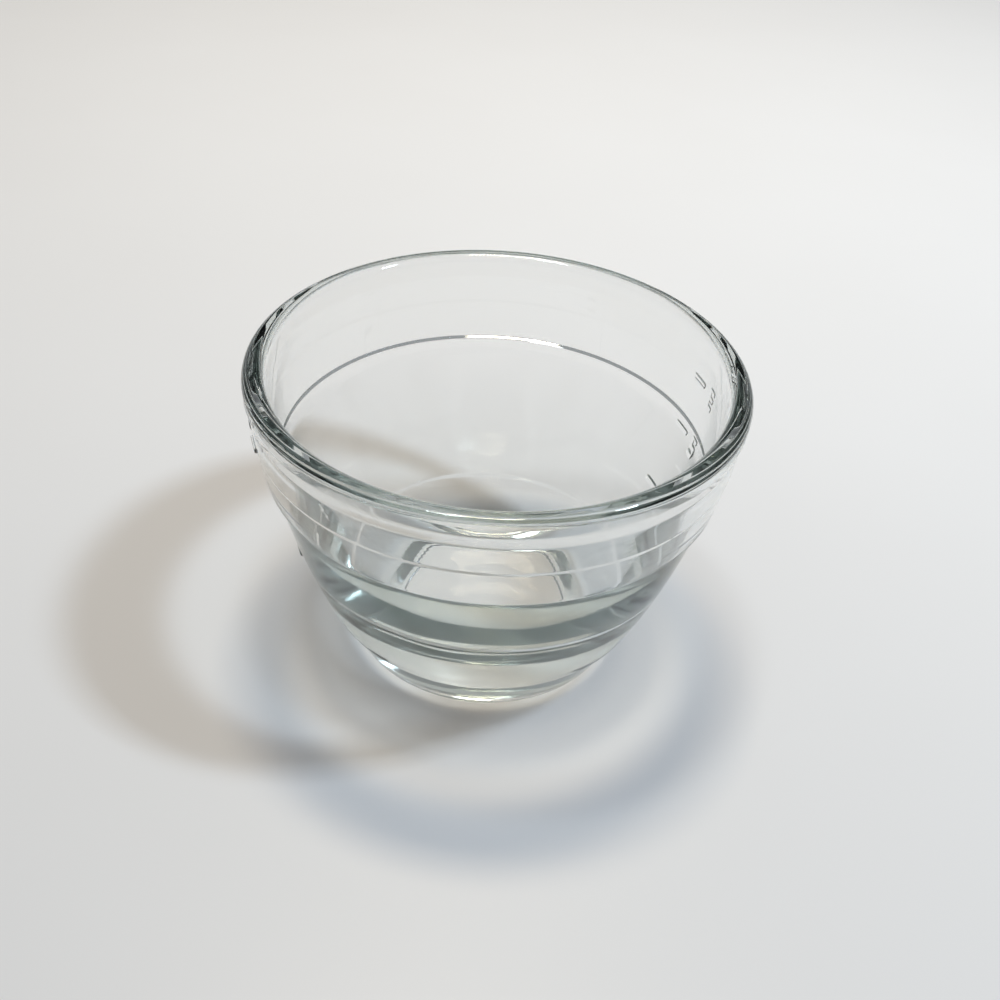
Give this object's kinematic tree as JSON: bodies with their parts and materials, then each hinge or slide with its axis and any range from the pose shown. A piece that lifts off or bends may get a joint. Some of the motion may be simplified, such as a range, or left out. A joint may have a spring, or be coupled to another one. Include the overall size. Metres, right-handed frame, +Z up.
{
  "type": "prep bowl",
  "caption": "Small clear pressed-glass prep bowl with a rolled rim, stepped collar, tapering body, thick foot ring and raised level marks outside.",
  "frame": {"origin": "centre of the foot, on the table that the bowl stands on", "axes": "+Z up along the bowl's axis; +X to the right and -Y towards the viewer of the picture; the level marks lie near +X and -X"},
  "size_m": [0.102, 0.102, 0.069],
  "materials": {
    "clear_glass": "clear, fire-polished, with a faint grey-green tint and light table wear"
  },
  "bodies": {
    "root": {"bowl": "clear_glass"}
  },
  "joints": []
}
